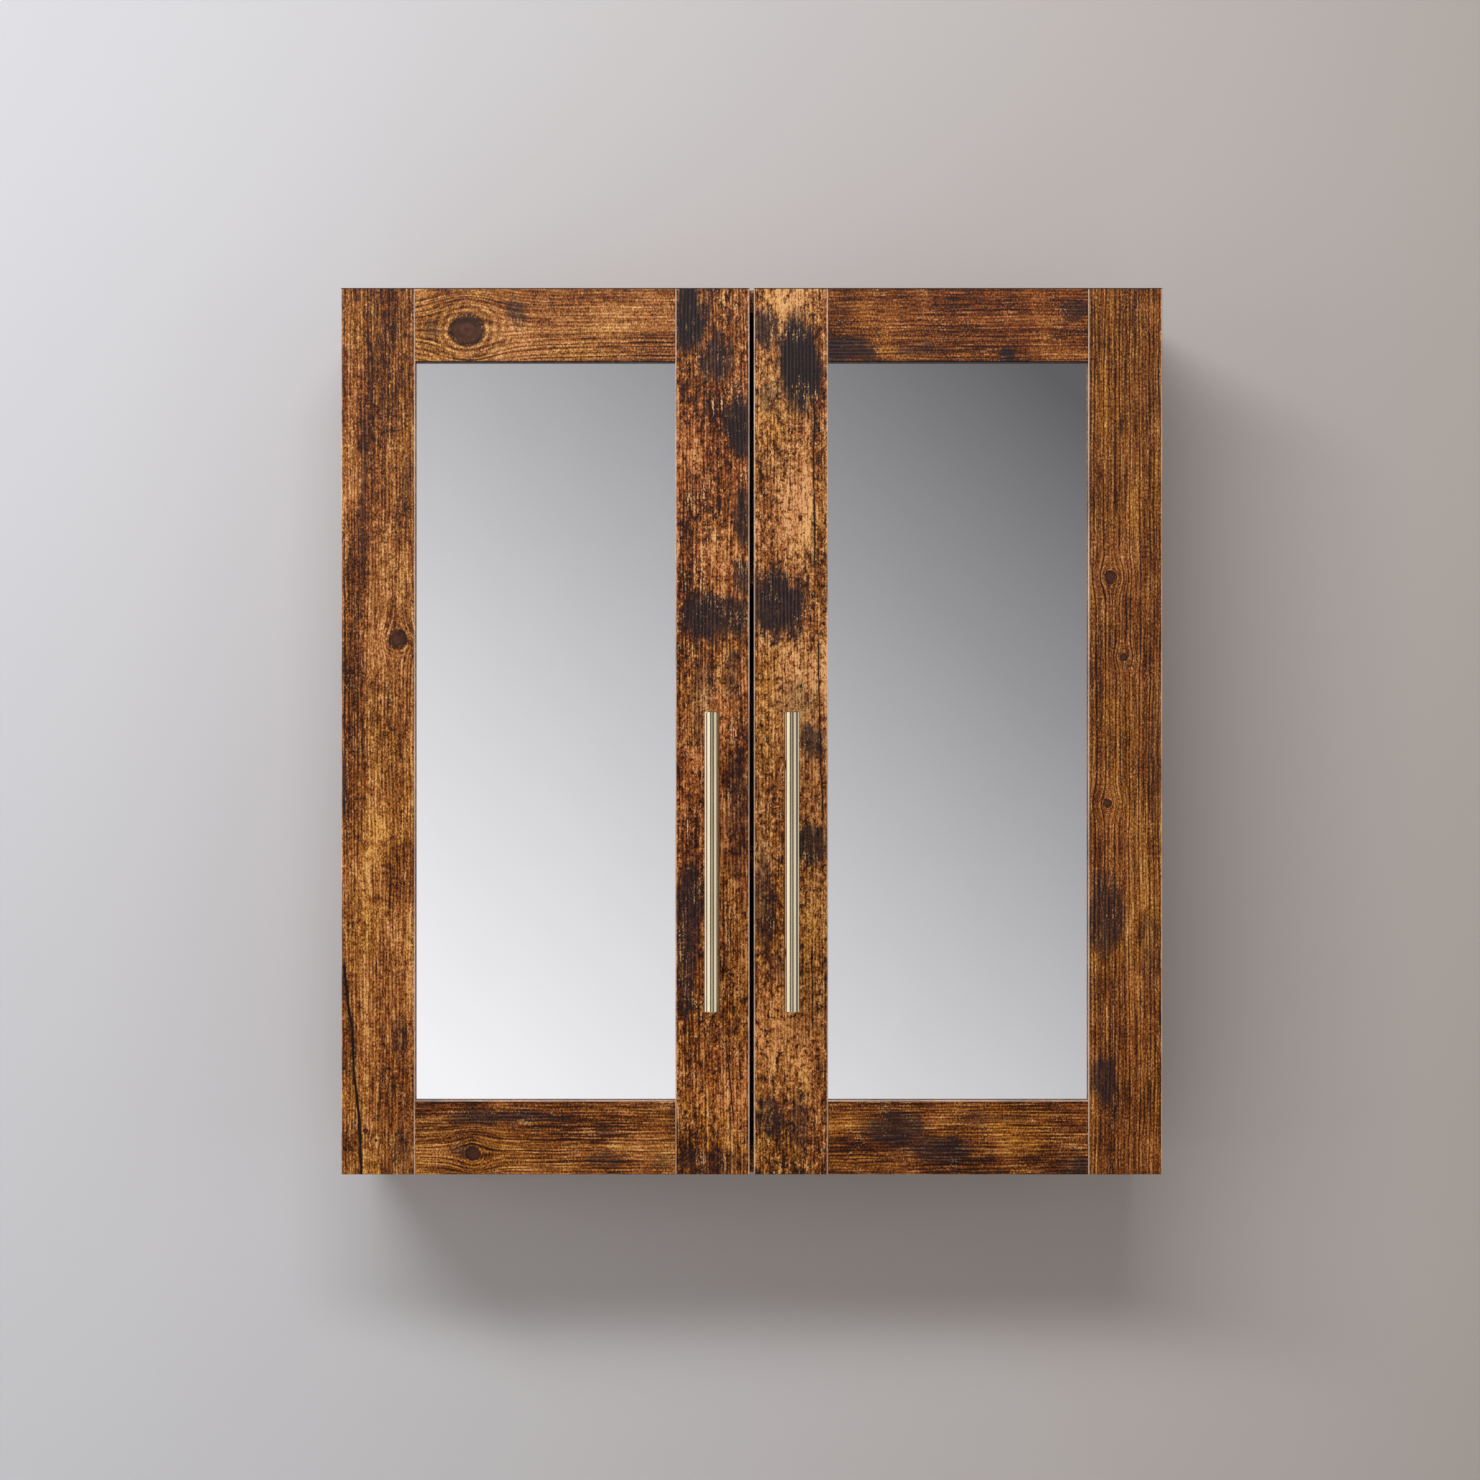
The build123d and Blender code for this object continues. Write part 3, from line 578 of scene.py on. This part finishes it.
# Door members get painted highlights on their pale front corners and painted shade lines along the door tops
# and under the top rails' lips
for node, recipe in DOOR_WOOD.items():
    low, high = [[place / MM for place in corner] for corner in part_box(node)]
    if node.endswith("stile"):
        recipe["edges"] = [("x", low[0], STILE_CORNER_HIGHLIGHT), ("x", high[0], STILE_CORNER_HIGHLIGHT)]
        recipe["dark_edges"] = [(high[2], TOP_SHADE_REACH)]
    elif node.endswith("top_rail"):
        recipe["dark_edges"] = [(low[2], LIP_SHADE_REACH), (high[2], TOP_SHADE_REACH)]
    else:
        recipe["edges"] = [("z", high[2], RAIL_CORNER_HIGHLIGHT)]
    dress(node, wood("wood_" + node, **recipe))

carcass_upright = wood("board_upright", "z", 11.0, tone=0.0, hatch=0.9, blotch=0.6, red=0.1)
carcass_level = wood("board_level", "x", 12.0, tone=0.0, hatch=0.9, blotch=0.6, red=0.1)
beech = wood("dowel_beech", "x", 15.0, tone=0.4, hatch=0.3, blotch=0.1, worn=0.1)
fibre_board = hardboard("back_hardboard", srgb(150, 112, 76), srgb(112, 78, 50), 3.0)
backing = hardboard("mirror_backing_board", srgb(132, 98, 66), srgb(96, 66, 42), 7.0)
glass = mirror_glass("mirror_silver")
brass = brushed("champagne_brass", srgb(210, 195, 165), srgb(188, 171, 137), 0.1, 5.0,
                streak=0.03, scratch=0.0)
steel = brushed("hinge_nickel", srgb(196, 194, 190), srgb(168, 166, 162), 0.28, 2.0, axis="y")
screw_steel = brushed("screw_zinc", srgb(200, 199, 194), srgb(172, 170, 164), 0.32, 6.0, axis="y")
cast_zinc = brushed("cast_zinc", srgb(176, 175, 172), srgb(142, 141, 138), 0.45, 8.0)
cap_plastic = moulded("cap_brown", srgb(104, 66, 40), 0.45, 4.0)
pad_rubber = moulded("bumper_clear", srgb(214, 212, 206), 0.35, 9.0, Transmission_Weight=0.3)

CARCASS_FINISH = {
    "left_side_panel": carcass_upright,
    "right_side_panel": carcass_upright,
    "top_panel": carcass_level,
    "bottom_panel": carcass_level,
    "upper_shelf": carcass_level,
    "lower_shelf": carcass_level,
    "upper_wall_rail": carcass_level,
    "lower_wall_rail": carcass_level,
    "back_panel": fibre_board,
    "panel_dowels": beech,
    "rail_dowels": beech,
    "hinge_plate_screws": screw_steel,
    "hinge_arm_screws": screw_steel,
    "shelf_pins": screw_steel,
    "cam_bolts": screw_steel,
    "hinge_arm_pins": steel,
    "cam_locks": cast_zinc,
    "cam_caps": cap_plastic,
    "door_bumpers": pad_rubber,
}
DOOR_FINISH = {
    "mirror": glass,
    "mirror_backing": backing,
    "handle_bar": brass,
    "handle_posts": brass,
    "handle_screws": screw_steel,
    "cup_screws": screw_steel,
    "hinge_cups": steel,
    "cup_pins": steel,
    "hinge_links": steel,
    "hinge_arms": steel,
    "hinge_plates": steel,
}
for node, material in CARCASS_FINISH.items():
    dress(node, material)
for hand in ("left", "right"):
    for part, material in DOOR_FINISH.items():
        dress(f"{hand}_{part}", material)


# Cross-head screws and domed bumpers, which stand for plainer CAD pieces
def shape(kind, **sizes):
    """Add a basic shape with its place and turn kept in its mesh, and return it."""
    bpy.ops.object.select_all(action="DESELECT")
    getattr(bpy.ops.mesh, f"primitive_{kind}_add")(**sizes)
    piece = bpy.context.object
    bpy.ops.object.transform_apply(location=True, rotation=True, scale=True)
    return piece


def apply_modifier(piece, kind, **settings):
    """Add a modifier to a piece and apply it."""
    modifier = piece.modifiers.new(kind.lower(), kind)
    for name, value in settings.items():
        setattr(modifier, name, value)
    bpy.context.view_layer.objects.active = piece
    bpy.ops.object.modifier_apply(modifier=modifier.name)


def merge(name, parts):
    """Join parts into one piece with its origin at the frame's origin."""
    bpy.ops.object.select_all(action="DESELECT")
    for part in parts:
        part.select_set(True)
    bpy.context.view_layer.objects.active = parts[0]
    if len(parts) > 1:
        bpy.ops.object.join()
    piece = bpy.context.object
    bpy.ops.object.transform_apply(location=True, rotation=True, scale=True)
    bpy.ops.object.shade_smooth_by_angle(angle=math.radians(35))
    piece.name = name
    return piece


def cross_screw(head_radius, head_height, shank_radius, shank_length):
    """A pan-head screw with a cross recess, its seat at the origin and its head up."""
    head = shape("cylinder", vertices=40, radius=head_radius, depth=head_height,
                 location=(0, 0, head_height / 2))
    apply_modifier(head, "BEVEL", width=head_height * 0.42, segments=4, limit_method="ANGLE")
    recess = head_height * 0.6
    for turn in (0, QUARTER):
        size = (head_radius * 1.05, head_radius * 0.26, 2 * recess)
        cutter = shape("cube", size=1, location=(0, 0, head_height), rotation=(0, 0, turn), scale=size)
        apply_modifier(head, "BOOLEAN", object=cutter, operation="DIFFERENCE", solver="EXACT")
        bpy.data.objects.remove(cutter)
    shank = shape("cylinder", vertices=24, radius=shank_radius, depth=shank_length,
                  location=(0, 0, -shank_length / 2))
    return merge("screw_pattern", [head, shank])


def finish_set(name, node, body, parts, material):
    """Join parts into one piece that stands for a CAD node and moves with its body."""
    piece = merge(name, parts)
    piece.data.materials.clear()
    piece.data.materials.append(material)
    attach(piece, body)
    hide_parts(node)


# Turn of the first screw's cross, and of each next one against the last, in degrees
FIRST_SCREW_TURN = 25
NEXT_SCREW_TURN = 40


def screw_set(name, node, body, seats, head, shank):
    """Cross-head screws in place of a CAD node's plain ones. Seats are places in mm and turns.

    The head and the shank are each a radius and a length in mm."""
    pattern = cross_screw(head[0] * MM, head[1] * MM, shank[0] * MM, shank[1] * MM)
    copies = []
    for number, (seat, turn) in enumerate(seats):
        copy = pattern.copy()
        copy.data = pattern.data.copy()
        bpy.context.scene.collection.objects.link(copy)
        place = Matrix.Translation([part * MM for part in seat])
        spin = Matrix.Rotation(math.radians(FIRST_SCREW_TURN + NEXT_SCREW_TURN * number), 4, "Z")
        copy.matrix_world = place @ Euler(turn).to_matrix().to_4x4() @ spin
        copies.append(copy)
    bpy.data.objects.remove(pattern)
    finish_set(name, node, body, copies, screw_steel)


# Screw seats of the CAD part, in mm. Places across are the right door's, and the left door's are mirrored.
HINGE_LEVELS = (-210, 210)
CUP_SCREW_SEAT = (248.5, -132.8)
CUP_SCREW_STEPS = (-24, 24)
HANDLE_SCREW_SEAT = (26.5, -134)
HANDLE_SCREW_LEVELS = (-151, -23)
PLATE_SCREW_SEAT = (260, -95)
PLATE_SCREW_STEPS = (-16, 16)
ARM_SCREW_SEAT = (249.5, -95)
OUT_OF_DOOR = (-QUARTER, 0, 0)


def seats_at(side, seat, levels, turn):
    """Seats on one side of the cabinet, one above the other."""
    across, back = seat
    return [((side * across, back, level), turn) for level in levels]


cup_levels = [level + step for level in HINGE_LEVELS for step in CUP_SCREW_STEPS]
plate_levels = [level + step for level in HINGE_LEVELS for step in PLATE_SCREW_STEPS]
plate_seats = []
arm_seats = []
for side, hand in SIDES:
    screw_set(f"{hand}_cup_cross_screws", f"{hand}_cup_screws", f"{hand}_door",
              seats_at(side, CUP_SCREW_SEAT, cup_levels, OUT_OF_DOOR), head=(3.4, 1.6), shank=(1.7, 13.2))
    screw_set(f"{hand}_handle_cross_screws", f"{hand}_handle_screws", f"{hand}_door",
              seats_at(side, HANDLE_SCREW_SEAT, HANDLE_SCREW_LEVELS, OUT_OF_DOOR),
              head=(3.9, 2.2), shank=(2.0, 28))
    out_of_side_panel = (0, -side * QUARTER, 0)
    plate_seats += seats_at(side, PLATE_SCREW_SEAT, plate_levels, out_of_side_panel)
    arm_seats += seats_at(side, ARM_SCREW_SEAT, HINGE_LEVELS, out_of_side_panel)
screw_set("plate_cross_screws", "hinge_plate_screws", "carcass", plate_seats,
          head=(3.6, 2.0), shank=(1.9, 13.5))
screw_set("arm_cross_screws", "hinge_arm_screws", "carcass", arm_seats,
          head=(4.2, 2.0), shank=(2.4, 7.0))

BUMPER_RADIUS = 4 * MM
BUMPER_HEIGHT = 1.7 * MM
BUMPER_ACROSS = 20 * MM
BUMPER_LEVEL = 292.5 * MM
CARCASS_FRONT_Y = -132 * MM
bumpers = []
for side, hand in SIDES:
    for level in (-BUMPER_LEVEL, BUMPER_LEVEL):
        place = (side * BUMPER_ACROSS, CARCASS_FRONT_Y - BUMPER_HEIGHT / 2, level)
        bumper = shape("cylinder", vertices=48, radius=BUMPER_RADIUS, depth=BUMPER_HEIGHT, location=place,
                       rotation=(QUARTER, 0, 0))
        apply_modifier(bumper, "BEVEL", width=BUMPER_HEIGHT * 0.45, segments=5, limit_method="ANGLE")
        bumpers.append(bumper)
finish_set("domed_bumpers", "door_bumpers", "carcass", bumpers, pad_rubber)


# Stage: a pale wall that is seen only from the front, a floor well below, and soft lamps
def stage_plane(name, corners, material, faces=((0, 1, 2, 3),)):
    """A flat stage piece through its corners, in metres."""
    mesh = bpy.data.meshes.new(name)
    mesh.from_pydata(corners, [], faces)
    piece = bpy.data.objects.new(name, mesh)
    bpy.context.scene.collection.objects.link(piece)
    mesh.materials.append(material)
    return piece


def one_sided(paint, colour):
    """Matt paint that can't be seen from behind."""
    wash = paint.make("BsdfDiffuse", {}, {"Color": colour})
    clear = paint.make("BsdfTransparent")
    behind = paint.make("NewGeometry", output="Backfacing")
    paint.make("OutputMaterial", {}, {"Surface": paint.make("MixShader", {}, [behind, wash, clear])})
    return paint.owner


def wall_with_painted_falloff():
    """A wall painted from cool white on the left to warm grey on the right, its darkening a painted fall-off
    of the light away from the lamps on the left.
    """
    paint = new_paint("wall_with_painted_falloff")
    x, y, z = split(paint)
    # Painted shade: darker towards the right, standing in for the light falling off away from the left
    across = rise(paint, x, -0.6, 0.7, smooth=False)
    return one_sided(paint, mix(paint, across, srgb(207, 210, 217), srgb(178, 170, 165)))


def rectangle(left, right, bottom, top, y):
    """Corners of an upright rectangle that faces the camera."""
    return [(left, y, bottom), (right, y, bottom), (right, y, top), (left, y, top)]


# The wall has an opening behind the cabinet, a little smaller than it, so that light reaches its back
WALL_Y = 0.001
WALL_HALF = 3.0
WALL_TOP = 2.2
FLOOR_Z = -1.1
SHOW_THROUGH = 5 * MM
rim = rectangle(-WALL_HALF, WALL_HALF, FLOOR_Z, WALL_TOP, WALL_Y)
opening = rectangle(cad_box[0][0] + SHOW_THROUGH, cad_box[1][0] - SHOW_THROUGH,
                    cad_box[0][2] + SHOW_THROUGH, cad_box[1][2] - SHOW_THROUGH, WALL_Y)
stage_plane("wall", rim + opening, wall_with_painted_falloff(), [(0, 1, 5, 4), (1, 2, 6, 5), (2, 3, 7, 6), (3, 0, 4, 7)])
floor_corners = [(-WALL_HALF, -WALL_HALF), (WALL_HALF, -WALL_HALF),
                 (WALL_HALF, WALL_HALF), (-WALL_HALF, WALL_HALF)]
stage_plane("floor", [(x, y, FLOOR_Z) for x, y in floor_corners],
            one_sided(new_paint("floor_paint"), (*srgb(224, 222, 221), 1)))

# The screen that the mirrors see: where it is darkest and lightest, in metres down and to the left
SCREEN_DARK = -1.31
SCREEN_LIGHT = 1.23
SCREEN_LEAN = 0.92
SCREEN_GLOW = 1.1
SCREEN_HALF_WIDTH = 0.82
SCREEN_HALF_HEIGHT = 1.0
SCREEN_Y = FRONT_Y - 2 * CAMERA_DISTANCE
SCREEN_STOPS = [(0.0, srgb(96, 94, 96)), (0.272, srgb(151, 149, 151)), (0.543, srgb(195, 193, 195)),
                (0.729, srgb(218, 216, 218)), (1.0, srgb(245, 243, 245))]


def screen_paint():
    """A studio screen that runs from grey above to white below, and darker to the right."""
    paint = new_paint("screen_paint")
    x, y, z = split(paint)
    fall = (z + x * SCREEN_LEAN) * -1.0
    tone = ramp(paint, rise(paint, fall, SCREEN_DARK, SCREEN_LIGHT, smooth=False), SCREEN_STOPS)
    glow = paint.make("Emission", {}, {"Color": tone, "Strength": SCREEN_GLOW})
    paint.make("OutputMaterial", {}, {"Surface": glow})
    return paint.owner


corners = rectangle(-SCREEN_HALF_WIDTH, SCREEN_HALF_WIDTH, -SCREEN_HALF_HEIGHT, SCREEN_HALF_HEIGHT, SCREEN_Y)
toward_cabinet = (0, 3, 2, 1)
screen = stage_plane("mirror_screen", corners, screen_paint(), [toward_cabinet])
screen.visible_camera = False
screen.visible_diffuse = False
screen.visible_shadow = False


def lamp(name, place, aim, width, height, power):
    """A soft rectangular lamp that points at a place. Lengths in metres, power in watts."""
    data = bpy.data.lights.new(name, "AREA")
    data.shape = "RECTANGLE"
    data.size = width
    data.size_y = height
    data.energy = power
    piece = bpy.data.objects.new(name, data)
    bpy.context.scene.collection.objects.link(piece)
    piece.location = place
    way = [aim[i] - place[i] for i in range(3)]
    flat = math.hypot(way[0], way[1])
    piece.rotation_euler = (math.atan2(flat, -way[2]), 0, math.atan2(-way[0], way[1]))


HANDLE_MIDDLE = (0, -0.18, -0.1)
lamp("key_lamp", (-0.5, -1.7, 1.15), (0, 0, 0), width=2.0, height=0.35, power=35)
lamp("left_lamp", (-1.67, -1.33, -0.1), HANDLE_MIDDLE, width=1.7, height=0.9, power=6.6)
lamp("right_lamp", (1.56, -1.47, -0.1), HANDLE_MIDDLE, width=1.45, height=0.9, power=3.8)

# Air: soft fill light, a neutral grey in the gloss, and a pale background
world = bpy.data.worlds.new("studio")
bpy.context.scene.world = world
sky = Paint(world)
glossy = sky.make("LightPath", output="Is Glossy Ray")
straight = sky.make("LightPath", output="Is Camera Ray")
air_colour = mix(sky, glossy, srgb(128, 119, 109), srgb(116, 114, 114))
air_colour = mix(sky, straight, air_colour, srgb(222, 220, 221))
air = sky.make("Background", {}, {"Color": air_colour, "Strength": 1.0})
sky.make("OutputWorld", {}, {"Surface": air})

camera_data = bpy.data.cameras.new("camera")
camera_data.sensor_width = SENSOR
camera_data.lens = SENSOR * CAMERA_DISTANCE / FRAME_WIDTH
camera = bpy.data.objects.new("camera", camera_data)
bpy.context.scene.collection.objects.link(camera)
camera.location = (
    CAD_MIDDLE[0] - (CABINET_MIDDLE_PX[0] - PHOTO_SIZE / 2) * METRES_PER_PX,
    FRONT_Y - CAMERA_DISTANCE,
    CAD_MIDDLE[2] + (CABINET_MIDDLE_PX[1] - PHOTO_SIZE / 2) * METRES_PER_PX,
)
camera.rotation_euler = (QUARTER, 0, 0)
bpy.context.scene.camera = camera
bpy.context.scene.view_settings.view_transform = "Standard"
